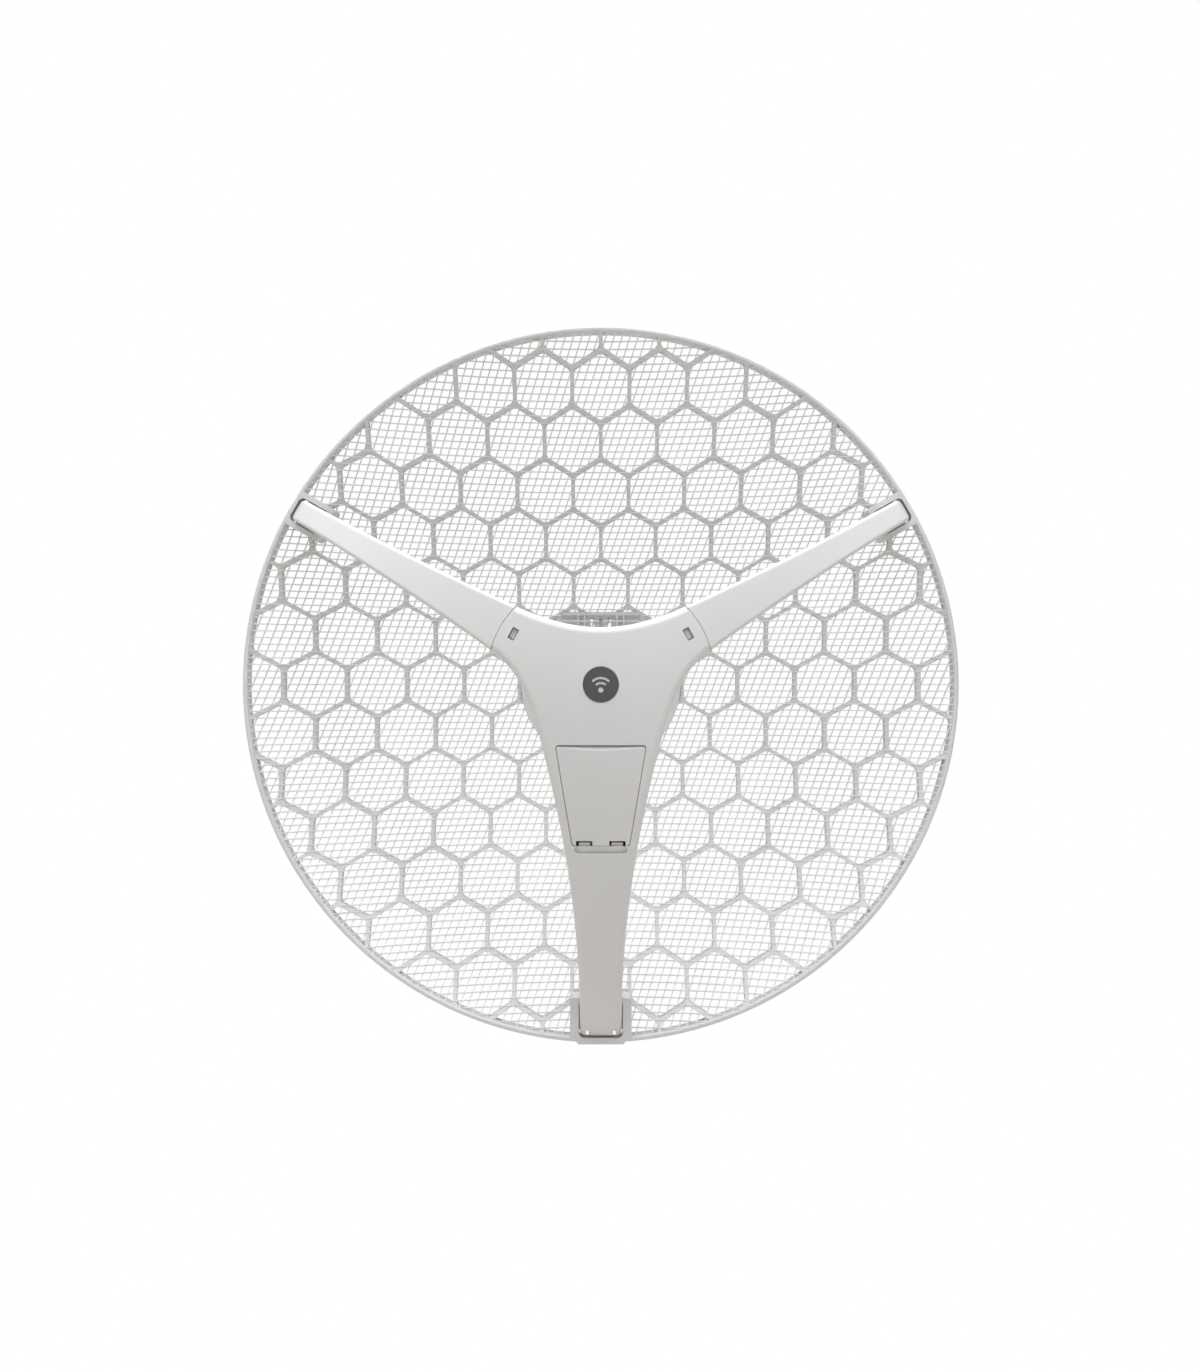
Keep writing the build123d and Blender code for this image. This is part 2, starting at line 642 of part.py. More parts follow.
def main_board():
    right = [(24.0, 24.0), (29.0, 16.5), (33.0, 9.0), (28.5, -8.0), (23.5, -27.5), (16.5, -58.5)]
    face = make_face(Polyline(right + mirrored(right), close=True))
    board = prism(face, BOARD_BACK, BOARD_FRONT)
    holes = [post(place, 1.5, BOARD_BACK - 1, BOARD_FRONT + 1) for place in BOARD_POSTS]
    return board - holes


def shield_can():
    outer = block((-15, 15), (-11, 15), (BOARD_FRONT, BOARD_FRONT + 4.2))
    outer = fillet(outer.edges().filter_by(Axis.Z), 1.0)
    can = outer - block((-14.7, 14.7), (-10.7, 14.7), (BOARD_FRONT - 1, BOARD_FRONT + 3.9))
    holes = [post((x, y), 0.8, BOARD_FRONT, HUB_FRONT) for x in range(-12, 13, 4) for y in range(-8, 13, 4)]
    return can - holes


def board_chips():
    chips = [((20.5, 1.0), (8, 8), 1.2), ((20.0, -12.0), (6, 9), 1.4), ((-21.0, -1.0), (9, 7), 1.2),
             ((-20.5, -11.5), (5, 5), 1.0), ((0.0, -22.0), (14, 12), 5.2), ((14.0, -30.0), (5, 4), 1.8)]
    solids = []
    for (x, y), (width, height), thick in chips:
        solids.append(block((x - width / 2, x + width / 2), (y - height / 2, y + height / 2),
                            (BOARD_FRONT, BOARD_FRONT + thick)))
    return solids


def feed_patch():
    side = 26.0
    corner = 3.0
    plate = chamfer(Rectangle(side, side).vertices(), corner)
    holes = [Pos(x, y) * Circle(1.05) for x, y in feed_spacer_places()]
    return prism(plate - holes, BOARD_BACK - 3.0, BOARD_BACK - 2.4)


def feed_spacer_places():
    return [(x, y) for x in (-9.0, 9.0) for y in (-9.0, 9.0)]


def feed_spacers():
    spacers = []
    for place in feed_spacer_places():
        sleeve = post(place, 2.0, BOARD_BACK - 2.4, BOARD_BACK)
        pin = post(place, 1.0, BOARD_BACK - 3.8, BOARD_BACK - 2.4)
        spacers.append(sleeve + pin)
    return spacers


def feed_probes():
    return [post(place, 0.5, BOARD_BACK - 2.4, BOARD_BACK) for place in ((0.0, 6.0), (6.0, 0.0))]


def ethernet_jack():
    body = block((-JACK_HALF, JACK_HALF), (JACK_MOUTH, JACK_TOP), (BOARD_FRONT, BOARD_FRONT + JACK_HEIGHT))
    mouth = block((-5.9, 5.9), (JACK_MOUTH - 1, JACK_MOUTH + 13), (BOARD_FRONT + 2.2, BOARD_FRONT + 9.2))
    latch = block((-3.1, 3.1), (JACK_MOUTH - 1, JACK_MOUTH + 13), (BOARD_FRONT + 9.1, BOARD_FRONT + 11.6))
    return body - mouth - latch


def jack_contacts():
    """Eight sprung contacts on the floor of the jack's mouth."""
    pins = []
    low = BOARD_FRONT + 2.2
    for number in range(8):
        x = (number - 3.5) * 1.02
        rise = Polyline([(x, JACK_MOUTH + 13, low), (x, JACK_MOUTH + 13, low + 3.2),
                         (x, JACK_MOUTH + 12.6, low + 3.2), (x, JACK_MOUTH + 3.4, low + 0.4),
                         (x, JACK_MOUTH + 3.4, low)], close=True)
        pins.append(Pos(-0.2, 0, 0) * extrude(make_face(rise), 0.4, dir=(1, 0, 0)))
    return pins


def port_surround():
    """Moulded frame under the door: the jack sits in its notch, the button and lights beside it."""
    face = door_outline(DOOR_TOP - 4.5, -60.0, -0.6)
    shell = (prism(face, HUB_BACK, HUB_FRONT) & under_dome(4.4)) - under_dome(6.0)
    shell = shell - block((-JACK_HALF - 0.4, JACK_HALF + 0.4), (-70, JACK_TOP + 0.4), (HUB_BACK, HUB_FRONT))
    legs = [post((x, y), 1.3, BOARD_FRONT, HUB_FRONT - 5) & under_dome(5.0)
            for x, y in ((-17.0, -36.5), (17.0, -36.5), (-14.6, -56.0), (14.6, -56.0))]
    shell = shell + legs
    shell = shell - post(BUTTON_PLACE, 1.8, HUB_BACK, HUB_FRONT)
    return shell - [post((LAMP_X, y), 1.0, HUB_BACK, HUB_FRONT) for y in LAMP_ROWS]


def status_lamps():
    return [block((LAMP_X - 0.8, LAMP_X + 0.8), (y - 0.6, y + 0.6), (BOARD_FRONT, BOARD_FRONT + 0.8))
            for y in LAMP_ROWS]


def light_guide():
    """Clear bar with a window over each lamp."""
    low = BOARD_FRONT + 6.0
    bar = block((LAMP_X - 1.6, LAMP_X + 1.6), (LAMP_ROWS[-1] - 1.4, LAMP_ROWS[0] + 1.4), (low, low + 1.6))
    tops = [post((LAMP_X, y), 0.9, low, HUB_FRONT - dome_drop(LAMP_X, y) - 4.1) for y in LAMP_ROWS]
    legs = [post((LAMP_X, y), 0.7, BOARD_FRONT + 1.1, low) for y in LAMP_ROWS]
    return bar + tops + legs


def reset_button():
    top = HUB_FRONT - dome_drop(*BUTTON_PLACE) - BUTTON_DEPTH
    cap = post(BUTTON_PLACE, 1.7, top - 2.6, top)
    flange = post(BUTTON_PLACE, 2.3, top - 3.4, top - 2.6)
    stem = post(BUTTON_PLACE, 1.1, BOARD_FRONT + 1.9, top - 3.0)
    return cap + flange + stem


def reset_switch():
    x, y = BUTTON_PLACE
    body = block((x - 3, x + 3), (y - 3, y + 3), (BOARD_FRONT, BOARD_FRONT + 2.8))
    return body - post(BUTTON_PLACE, 1.2, BOARD_FRONT + 1.2, BOARD_FRONT + 3)


def pan_screw(place, head_back, shank_end, shank_radius=1.25, head_radius=2.3, head_height=1.6):
    """Screw that points forward, with a cross recess in its domed head."""
    head = post(place, head_radius, head_back, head_back + head_height)
    head = fillet(head.edges().sort_by(Axis.Z)[0], head_height * 0.6)
    shank = post(place, shank_radius, head_back + head_height, shank_end)
    x, y = place
    reach, deep = head_radius * 0.6, head_height * 0.6
    cross = block((x - reach, x + reach), (y - 0.3, y + 0.3), (head_back - 1, head_back + deep))
    cross = cross + block((x - 0.3, x + 0.3), (y - reach, y + reach), (head_back - 1, head_back + deep))
    return head + shank - cross


def board_screws():
    return [pan_screw(place, BOARD_BACK - 1.6, BOARD_FRONT + 6) for place in BOARD_POSTS]


def cover_screws():
    screws = []
    for place in COVER_POSTS:
        head_front = cover_screw_seat(place) - 0.02
        screws.append(pan_screw(place, head_front - 1.4, head_front + 8, head_height=1.4))
    return screws


def cable_grommet():
    """Rubber bush in the wall between the port bay and the lower arm."""
    height = grommet_height()
    middle = (PARTITION - PARTITION_THICKNESS / 2 + 0.05, PARTITION + PARTITION_THICKNESS / 2 - 0.05)
    bush = post_along_y(4.3, (PARTITION - 3.2, PARTITION + 3.2), height)
    flange_low = post_along_y(6.0, (PARTITION - 3.2, middle[0] - 0.1), height)
    flange_high = post_along_y(6.0, (middle[1] + 0.1, PARTITION + 3.2), height)
    bush = bush + flange_low + flange_high
    bush = bush - post_along_y(2.8, (PARTITION - 5, PARTITION + 5), height)
    return bush - behind_back(COVER_THICKNESS + 0.1)


# ---------------------------------------------------------------- mast mount

def saddle_sector(inner, outer, half_angle, half_height):
    """Part of a ring round the mast, centred on the front."""
    ring = Circle(outer) - Circle(inner)
    reach = 2 * outer
    x, z = reach * math.sin(math.radians(half_angle)), reach * math.cos(math.radians(half_angle))
    wedge = make_face(Polyline([(0, 0), (x, z), (0, reach), (-x, z)], close=True))
    return Pos(0, half_height, 0) * Rot(90, 0, 0) * extrude(ring & wedge, 2 * half_height)


def lock_places():
    """Centre of the lock bolt at rest and at both tilt limits, from the pivot."""
    for angle in (0.0, TILT_LIMIT, -TILT_LIMIT):
        radians = math.radians(angle)
        yield LOCK_RADIUS * math.cos(radians), PIVOT_Z + LOCK_RADIUS * math.sin(radians)


def side_profile(face, x_low, x_high):
    """Extrude a profile drawn as (y, z) along x."""
    return Pos(x_low, 0, 0) * Rot(0, 90, 0) * Rot(0, 0, 90) * extrude(face, x_high - x_low)


def slot_profile():
    """Curved slot that the lock bolt travels in."""
    ring = Circle(LOCK_RADIUS + BOLT_HOLE) - Circle(LOCK_RADIUS - BOLT_HOLE)
    reach = 2 * LOCK_RADIUS
    limit = math.radians(TILT_LIMIT)
    wedge = make_face(Polyline([(0, 0), (reach * math.cos(limit), -reach * math.sin(limit)),
                                (reach * math.cos(limit), reach * math.sin(limit))], close=True))
    slot = Pos(0, PIVOT_Z) * (ring & wedge)
    for y, z in list(lock_places())[1:]:
        slot = slot + Pos(y, z) * Circle(BOLT_HOLE)
    return slot


def mast_bracket():
    circles = [Pos(0, PIVOT_Z) * Circle(8.0)]
    circles += [Pos(y, z) * Circle(BOLT_HOLE + 2.3) for y, z in list(lock_places())[1:]]
    circles.append(Pos(0, 24) * Rectangle(2 * SADDLE_HALF_HEIGHT, 8))
    profile = make_hull([edge for shape in circles for edge in shape.edges()])
    body = side_profile(profile, -BLOCK_HALF, BLOCK_HALF)
    outer = MAST_RADIUS + SADDLE_THICKNESS
    body = body + saddle_sector(MAST_RADIUS, outer, SADDLE_HALF_ANGLE, SADDLE_HALF_HEIGHT)
    mast = Rot(90, 0, 0) * Cylinder(MAST_RADIUS, BIG)
    band_slot = saddle_sector(outer, outer + BAND_THICKNESS + 0.8, 80, BAND_HALF_WIDTH + 0.5)
    lightening = block((-BLOCK_HALF + 4, BLOCK_HALF - 4), (-19, -11), (33, 60))
    body = body - mast - band_slot - lightening
    body = body - rod(BOLT_HOLE, (-20, 20), 0, PIVOT_Z)
    return body - side_profile(slot_profile(), -20, 20)


def cheek_profile():
    shapes = [Pos(0, PIVOT_Z) * Circle(8.0), Pos(LOCK_RADIUS, PIVOT_Z) * Circle(7.0),
              Pos(8, BRACKET_BACK + 0.5) * Rectangle(44, 1)]
    return make_hull([edge for shape in shapes for edge in shape.edges()])


def dish_bracket():
    plate = Pos(0, 0, BRACKET_BACK + 2) * Box(64, 58, PLATE_BACK - BRACKET_BACK)
    plate = fillet(plate.edges().filter_by(Axis.Z), 6)
    low = BLOCK_HALF + CHEEK_GAP
    for side in (1, -1):
        ends = sorted((side * low, side * (low + CHEEK_THICKNESS)))
        plate = plate + side_profile(cheek_profile(), *ends)
    plate = plate - rod(BOLT_HOLE, (-20, 20), 0, PIVOT_Z)
    plate = plate - rod(BOLT_HOLE, (-20, 20), LOCK_RADIUS, PIVOT_Z)
    return plate - [post(place, 2.6, 0, VERTEX) for place in bracket_screw_places()]


def bracket_screws():
    return [pan_screw(place, BRACKET_BACK - 3.2, VERTEX - 3, 2.4, 4.6, 3.2)
            for place in bracket_screw_places()]


def cross_bolt(y, z):
    """Hexagon bolt through both cheeks, with its head on the left."""
    face = BLOCK_HALF + CHEEK_GAP + CHEEK_THICKNESS + 1.3
    head = hex_rod(10.0, (-face - 4.0, -face), y, z)
    return head + rod(BOLT_RADIUS, (-face, face + 8.5), y, z)


def washers(places):
    face = BLOCK_HALF + CHEEK_GAP + CHEEK_THICKNESS + 0.05
    rings = []
    for y, z in places:
        for low, high in ((-face - 1.2, -face), (face, face + 1.2)):
            rings.append(rod(6.0, (low, high), y, z) - rod(BOLT_HOLE, (low - 1, high + 1), y, z))
    return rings


def pivot_nut():
    face = BLOCK_HALF + CHEEK_GAP + CHEEK_THICKNESS + 1.3
    return hex_rod(10.0, (face, face + 5), 0, PIVOT_Z) - rod(BOLT_RADIUS + 0.03, (0, 60), 0, PIVOT_Z)


def wing_nut():
    face = BLOCK_HALF + CHEEK_GAP + CHEEK_THICKNESS + 1.35
    hub = rod(5.4, (face, face + 5.5), LOCK_RADIUS, PIVOT_Z)
    hub = chamfer(hub.edges().sort_by(Axis.X)[-1], 0.8)
    wing = Polyline([(-1.0, 3.0), (9.5, 8.0), (10.8, 11.0), (8.0, 10.6), (1.0, 5.0)], close=True)
    wing = fillet(make_face(wing).vertices(), 0.4)
    plate = extrude(wing, 1.1, both=True)
    wings = [Pos(face + 1, LOCK_RADIUS, PIVOT_Z) * Rot(turn, 0, 0) * plate for turn in (0, 180)]
    return hub + wings - rod(BOLT_RADIUS + 0.05, (0, 80), LOCK_RADIUS, PIVOT_Z)


def band_path(front, rear):
    """Outline drawn round the saddle's outside and the mast's rear, with straight flanks."""
    start = math.radians(SADDLE_HALF_ANGLE)
    touch = start + math.acos(rear / front)
    corner = (front * math.sin(start), front * math.cos(start))
    tangent = (rear * math.sin(touch), rear * math.cos(touch))
    front_arc = ThreePointArc((-corner[0], corner[1]), (0, front), corner)
    flank = Line(corner, tangent)
    rear_arc = ThreePointArc(tangent, (0, -rear), (-tangent[0], tangent[1]))
    return make_face([front_arc, flank, rear_arc, Line((-tangent[0], tangent[1]), (-corner[0], corner[1]))])


def clamp_place():
    """Turns a piece built at the front of the mast to the worm housing's place."""
    return Rot(0, CLAMP_ANGLE, 0)


def clamp_band():
    front = MAST_RADIUS + SADDLE_THICKNESS + 0.05
    ring = band_path(front + BAND_THICKNESS, MAST_RADIUS + BAND_THICKNESS) - band_path(front, MAST_RADIUS)
    band = Pos(0, BAND_HALF_WIDTH, 0) * Rot(90, 0, 0) * extrude(ring, 2 * BAND_HALF_WIDTH)
    inner = MAST_RADIUS + BAND_THICKNESS
    tail = saddle_sector(inner - 0.05, inner + BAND_THICKNESS, 24, BAND_HALF_WIDTH)
    return band + clamp_place() * tail


def worm_height():
    return MAST_RADIUS + 2 * BAND_THICKNESS + 4.6


def clamp_housing():
    low = MAST_RADIUS + 2 * BAND_THICKNESS + 0.35
    body = block((-7.5, 7.5), (-7.4, 7.4), (low, worm_height() + 4.4))
    body = fillet(body.edges().filter_by(Axis.X).sort_by(Axis.Z)[-2:], 2.5)
    lips = [block((-7.5, 7.5), sides, (low - 3.0, low + 1)) for sides in ((-7.4, -6.5), (6.5, 7.4))]
    mast = Rot(90, 0, 0) * Cylinder(MAST_RADIUS + 0.3, BIG)
    body = body + lips - rod(3.1, (-20, 20), 0, worm_height()) - mast
    return clamp_place() * body


def clamp_screw():
    worm = rod(3.0, (-8.6, 8.4), 0, worm_height())
    grooves = [rod(3.2, (x, x + 0.7), 0, worm_height()) - rod(2.5, (x, x + 0.7), 0, worm_height())
               for x in [-6.5 + 1.4 * step for step in range(10)]]
    head = hex_rod(7.0, (8.4, 12.6), 0, worm_height())
    slot = block((11.4, 13), (-4, 4), (worm_height() - 0.5, worm_height() + 0.5))
    return clamp_place() * (worm - grooves + head - slot)


# ---------------------------------------------------------------- build

LOCK_PLACE = (LOCK_RADIUS, PIVOT_Z)
PIVOT_PLACE = (0.0, PIVOT_Z)

write("grid_frame", grid_frame())
write("mesh_wires_level", wires(LEVEL_SPACING, 0.0, LEVEL_HEIGHT))
write("mesh_wires_slanted", wires(SLANT_SPACING, SLANT_ANGLE, SLANT_HEIGHT))
write("hub_front_cover", hub_front_cover())
write("hub_rear_cover", hub_rear_cover())
write("cover_seal", cover_seal())
write("badge", badge())
ARM = side_arm()
for side_name, arm_angle in SIDE_ARM_ANGLES.items():
    write(f"{side_name}_side_arm", Rot(0, 0, arm_angle) * ARM)
write("port_door", port_door())
write("main_board", main_board())
write("shield_can", shield_can())
write("board_chips", board_chips())
write("feed_patch", feed_patch())
write("feed_spacers", feed_spacers())
write("feed_probes", feed_probes())
write("ethernet_jack", ethernet_jack())
write("jack_contacts", jack_contacts())
write("port_surround", port_surround())
write("status_lamps", status_lamps())
write("light_guide", light_guide())
write("reset_button", reset_button())
write("reset_switch", reset_switch())
write("board_screws", board_screws())
write("cover_screws", cover_screws())
write("cable_grommet", cable_grommet())
write("dish_bracket", dish_bracket())
write("bracket_screws", bracket_screws())
write("mast_bracket", mast_bracket())
write("pivot_bolt", cross_bolt(*PIVOT_PLACE))
write("pivot_washers", washers([PIVOT_PLACE]))
write("pivot_nut", pivot_nut())
write("lock_bolt", cross_bolt(*LOCK_PLACE))
write("lock_washers", washers([LOCK_PLACE]))
write("wing_nut", wing_nut())
write("clamp_band", clamp_band())
write("clamp_housing", clamp_housing())
write("clamp_screw", clamp_screw())
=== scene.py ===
import json
import math

import bmesh
import bpy
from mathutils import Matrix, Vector


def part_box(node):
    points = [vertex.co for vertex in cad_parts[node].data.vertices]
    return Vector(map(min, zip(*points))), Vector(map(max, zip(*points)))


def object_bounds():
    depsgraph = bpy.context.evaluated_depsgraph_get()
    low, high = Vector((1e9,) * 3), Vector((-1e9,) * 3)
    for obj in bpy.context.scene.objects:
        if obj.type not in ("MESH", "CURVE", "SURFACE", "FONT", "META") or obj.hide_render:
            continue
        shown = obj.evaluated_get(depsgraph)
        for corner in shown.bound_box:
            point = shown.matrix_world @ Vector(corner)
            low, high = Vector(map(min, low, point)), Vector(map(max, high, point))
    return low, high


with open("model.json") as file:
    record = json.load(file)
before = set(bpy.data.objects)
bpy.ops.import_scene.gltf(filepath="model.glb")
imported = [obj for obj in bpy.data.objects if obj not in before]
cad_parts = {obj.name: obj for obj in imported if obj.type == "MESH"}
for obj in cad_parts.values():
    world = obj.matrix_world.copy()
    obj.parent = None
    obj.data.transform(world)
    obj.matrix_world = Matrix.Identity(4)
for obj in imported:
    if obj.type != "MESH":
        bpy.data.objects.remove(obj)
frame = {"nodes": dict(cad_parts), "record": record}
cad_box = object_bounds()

# Lengths are in metres, except the camera's lens and sensor, which are in millimetres. Powers are in watts.

# Photograph's viewpoint: on the beam axis, this far in front of the bottom of the bowl
CAMERA_DISTANCE = 0.869
CAMERA_LENS = 38.43
CAMERA_SENSOR = 36.0
CAMERA_SHIFT = (-0.0006, -0.0011)
CAMERA_NEAR = 0.01
BOWL_AHEAD_OF_BRACKET = 0.008

# Studio light: colours of the surround straight down, level and straight up
SKY_LOW = (0.39, 0.36, 0.265)
SKY_HORIZON = (0.195, 0.195, 0.20)
SKY_HIGH = (1.49, 1.50, 1.54)

# Area lights, each with its place, size and power, all pointed at one target
LIGHT_TARGET = Vector((0, -0.1, 0))
AREA_LIGHTS = {
    "top_light": ((-0.2, -0.45, 1.8), (1.8, 1.2), 33.0),
    "left_softbox": ((-1.7, -1.5, 1.0), (1.2, 1.4), 1.2),
    "right_softbox": ((1.7, -1.5, 1.0), (1.2, 1.4), 1.02),
}

# Backdrop: a floor below the object that bends up into a wall behind it
FLOOR_DROP = 0.25
FLOOR_HALF_WIDTH = 6.0
FLOOR_FRONT = -4.0
FLOOR_BACK = 2.0
BEND_RADIUS = 1.0
BEND_STEPS = 12
WALL_HEIGHT = 5.0

# What the camera sees in place of the backdrop and the surround
WHITE = (1.0, 1.0, 1.0)

# Radii by which the shading rounds sharp edges
SOFT_PLASTIC_EDGE = 0.0004
SOFT_SMALL_EDGE = 0.0003
SOFT_METAL_EDGE = 0.0002
SOFT_EDGE_SAMPLES = 4

# Moulded plastic: cells per metre of its grain and of its changes of gloss, and how deep light scatters in it
GRAIN_SCALE = 2600.0
SHEEN_SCALE = 60.0
SCATTER_DEPTH = 0.002

# Depths behind the badge's face at which the pale paint starts, is full, thins out and ends
PAINT_DEPTHS = (0.00022, 0.00028, 0.00036, 0.00042)

# Middle band of a noise's values, over which a finish changes from one end to the other
NOISE_BAND = (0.3, 0.7)

# Sockets of a mix node that blends colours
MIX_FACTOR, MIX_FIRST, MIX_SECOND, MIX_RESULT = 0, 6, 7, 2


# ---------------------------------------------------------------- node helpers

class Nodes:
    """Small builder for the node tree of a material or of the world."""

    def __init__(self, owner, shader, place):
        owner.use_nodes = True
        self.owner = owner
        self.tree = owner.node_tree
        self.shader = self.tree.nodes[shader]
        self.place = self.add("ShaderNodeTexCoord").outputs[place]

    def add(self, kind, feeds=None, **settings):
        """New node; feeds has the values of its inputs, and settings the values of its properties."""
        node = self.tree.nodes.new(kind)
        for name, value in settings.items():
            setattr(node, name, value)
        for socket, value in (feeds or {}).items():
            self.feed(node.inputs[socket], value)
        return node

    def feed(self, target, value):
        """Drive an input by another node's output, or set it to a plain value or colour."""
        if isinstance(value, bpy.types.NodeSocket):
            self.tree.links.new(value, target)
        elif target.type == "RGBA":
            target.default_value = (*value, 1.0)
        else:
            target.default_value = value

    def set(self, name, value):
        """Drive or set one input of the shader."""
        self.feed(self.shader.inputs[name], value)

    def along(self, axis):
        """One coordinate of the place on the object, or of the direction in the world."""
        return self.add("ShaderNodeSeparateXYZ", {"Vector": self.place}).outputs[axis]

    def stretched(self, scale):
        """Place on the object, stretched by different amounts along its axes."""
        return self.add("ShaderNodeMapping", {"Vector": self.place, "Scale": scale}).outputs["Vector"]

    def noise(self, scale, detail=4.0, roughness=0.55, place=None):
        """Noise over the object; scale is in cells per metre."""
        feeds = {"Vector": place or self.place, "Scale": scale, "Detail": detail, "Roughness": roughness}
        return self.add("ShaderNodeTexNoise", feeds).outputs["Fac"]

    def ramp(self, source, low, high, low_value=0.0, high_value=1.0):
        """Straight change from low_value to high_value while the source goes from low to high."""
        feeds = {"Value": source, "From Min": low, "From Max": high}
        feeds.update({"To Min": low_value, "To Max": high_value})
        return self.add("ShaderNodeMapRange", feeds, clamp=True).outputs["Result"]

    def mix(self, factor, first, second):
        """Blend of two colours; each is a colour or a node's output."""
        feeds = {MIX_FACTOR: factor, MIX_FIRST: first, MIX_SECOND: second}
        return self.add("ShaderNodeMix", feeds, data_type="RGBA").outputs[MIX_RESULT]

    def product(self, first, second):
        """One node's output times another's."""
        return self.add("ShaderNodeMath", {0: first, 1: second}, operation="MULTIPLY").outputs[0]

    def vary_roughness(self, source, low, high):
        """Let the shader's roughness follow a noise."""
        self.set("Roughness", self.ramp(source, *NOISE_BAND, low, high))

    def bump(self, height, distance, strength, soften=0.0):
        """Bump from a height; soften also rounds the mesh's sharp edges."""
        node = self.add("ShaderNodeBump", {"Height": height, "Distance": distance, "Strength": strength})
        if soften:
            bevel = self.add("ShaderNodeBevel", {"Radius": soften}, samples=SOFT_EDGE_SAMPLES)
            self.feed(node.inputs["Normal"], bevel.outputs["Normal"])
        self.set("Normal", node.outputs["Normal"])

    def show_white(self, kind, output):
        """Let the camera see plain white, while all other light still meets the shader."""
        white = self.add(kind, {"Color": WHITE, "Strength": 1.0})
        path = self.add("ShaderNodeLightPath")
        feeds = {0: path.outputs["Is Camera Ray"], 1: self.shader.outputs[0], 2: white.outputs[0]}
        blend = self.add("ShaderNodeMixShader", feeds)
        self.feed(self.tree.nodes[output].inputs["Surface"], blend.outputs[0])


def new_material(name):
    """Nodes of a new material, placed by the object's own coordinates."""
    return Nodes(bpy.data.materials.new(name), "Principled BSDF", "Object")


def grey(value, warmth=0.0):
    """Grey colour in linear light; warmth moves it towards yellow, or blue when negative."""
    return value * (1 + warmth), value, value * (1 - warmth)


# ---------------------------------------------------------------- materials

def moulded_plastic(name, light, dark, roughness, grain=0.00004):
    """Satin moulded plastic: fine spark-eroded grain, faint flow marks and soft edges."""
    nodes = new_material(name)
    flow = nodes.noise(scale=9.0, detail=3.0, roughness=0.5, place=nodes.stretched((1.0, 1.0, 0.35)))
    nodes.set("Base Color", nodes.mix(nodes.ramp(flow, 0.35, 0.65), dark, light))
    nodes.vary_roughness(nodes.noise(SHEEN_SCALE, detail=3.0), roughness - 0.05, roughness + 0.06)
    nodes.set("Specular IOR Level", 0.42)
    nodes.set("Subsurface Weight", 0.04)
    nodes.set("Subsurface Radius", (SCATTER_DEPTH, SCATTER_DEPTH, SCATTER_DEPTH))
    nodes.set("Subsurface Scale", 1.0)
    fine = nodes.noise(GRAIN_SCALE, detail=2.0, roughness=0.6)
    nodes.bump(fine, distance=grain, strength=0.35, soften=SOFT_PLASTIC_EDGE)
    return nodes.owner


def painted_badge(name):
    """Dark satin badge with pale paint in the bottoms of its engraved marks."""
    nodes = new_material(name)
    depth = nodes.along("Y")
    starts, full, thins, ends = (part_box("badge")[0][1] + step for step in PAINT_DEPTHS)
    paint = nodes.product(nodes.ramp(depth, starts, full), nodes.ramp(depth, thins, ends, 1.0, 0.0))
    ground = nodes.mix(nodes.noise(scale=80.0, detail=3.0), grey(0.075), grey(0.10))
    nodes.set("Base Color", nodes.mix(paint, ground, grey(0.72)))
    nodes.vary_roughness(nodes.noise(SHEEN_SCALE, detail=3.0), 0.32, 0.42)
    fine = nodes.noise(GRAIN_SCALE, detail=2.0, roughness=0.6)
    nodes.bump(fine, distance=0.00003, strength=0.3, soften=SOFT_SMALL_EDGE)
    return nodes.owner


def metal(name, colour, roughness, streak=(1.0, 1.0, 40.0)):
    """Drawn or plated metal with fine streaks and small stains; streak stretches the streaks."""
    nodes = new_material(name)
    lines = nodes.noise(scale=420.0, roughness=0.6, place=nodes.stretched(streak))
    stain = nodes.noise(scale=45.0, detail=5.0, roughness=0.6)
    dull = tuple(channel * 0.72 for channel in colour)
    nodes.set("Base Color", nodes.mix(nodes.ramp(stain, 0.45, 0.75, 0.0, 0.7), colour, dull))
    nodes.set("Metallic", 1.0)
    nodes.vary_roughness(lines, roughness - 0.08, roughness + 0.10)
    nodes.bump(lines, distance=0.00002, strength=0.4, soften=SOFT_METAL_EDGE)
    return nodes.owner


def coated_wire(name):
    """Thin white coating on the mesh wire, thicker in places, greyer where dust has settled."""
    nodes = new_material(name)
    lumps = nodes.noise(scale=700.0, detail=3.0, roughness=0.6)
    dust = nodes.ramp(nodes.noise(scale=30.0), 0.4, 0.7)
    nodes.set("Base Color", nodes.mix(dust, grey(0.84), grey(0.76, 0.01)))
    nodes.vary_roughness(lumps, 0.38, 0.55)
    nodes.bump(lumps, distance=0.00006, strength=0.5, soften=SOFT_SMALL_EDGE)
    return nodes.owner


def rubber(name):
    """Black rubber with a pale bloom in patches."""
    nodes = new_material(name)
    bloom = nodes.ramp(nodes.noise(scale=120.0, detail=5.0), 0.4, 0.7)
    nodes.set("Base Color", nodes.mix(bloom, grey(0.012), grey(0.03)))
    nodes.set("Roughness", 0.72)
    nodes.bump(nodes.noise(scale=1800.0, detail=3.0), distance=0.00005, strength=0.5)
    return nodes.owner


def circuit_board(name):
    """Green solder mask over copper tracks."""
    nodes = new_material(name)
    feeds = {"Vector": nodes.place, "Scale": 260.0}
    cells = nodes.add("ShaderNodeTexVoronoi", feeds, feature="DISTANCE_TO_EDGE", distance="MANHATTAN")
    tracks = nodes.ramp(cells.outputs["Distance"], 0.05, 0.09, 1.0, 0.0)
    nodes.set("Base Color", nodes.mix(tracks, (0.006, 0.06, 0.022), (0.02, 0.16, 0.06)))
    nodes.vary_roughness(nodes.noise(scale=300.0), 0.22, 0.34)
    nodes.bump(tracks, distance=0.00004, strength=0.6)
    return nodes.owner


